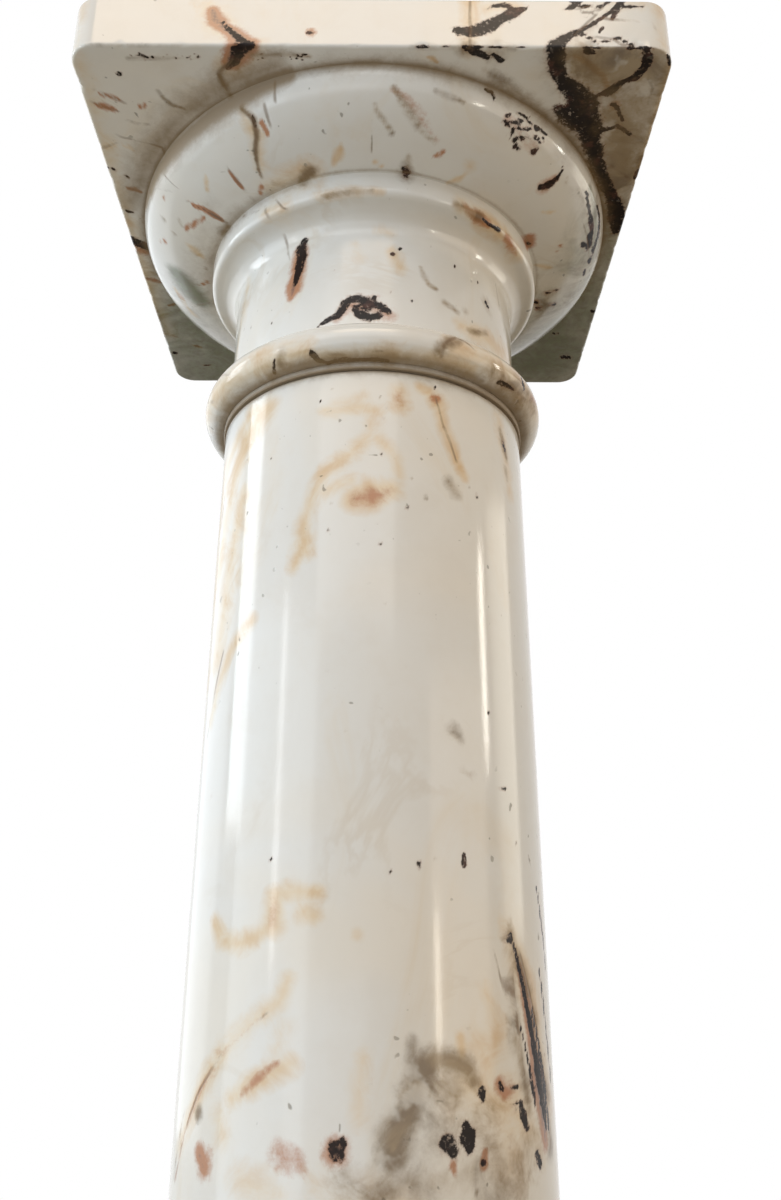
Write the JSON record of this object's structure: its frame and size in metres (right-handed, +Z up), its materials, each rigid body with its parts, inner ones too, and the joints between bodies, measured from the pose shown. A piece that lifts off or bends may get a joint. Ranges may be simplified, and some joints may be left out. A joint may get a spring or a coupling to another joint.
{
  "type": "marble doric column",
  "caption": "Free-standing polished marble column with a smooth tapered shaft, a Roman Doric capital under a square slab, and a moulded base.",
  "frame": {"origin": "centre of the plinth's underside, on the floor", "axes": "+Z up along the shaft's axis; X and Y square to the sides of the slab and plinth, and -Y is the front"},
  "size_m": [0.3, 0.3, 1.1],
  "materials": {
    "base_marble": "polished",
    "shaft_marble": "polished",
    "capital_marble": "polished"
  },
  "bodies": {
    "root": {"base": "base_marble", "shaft": "shaft_marble", "capital": "capital_marble"}
  },
  "joints": []
}
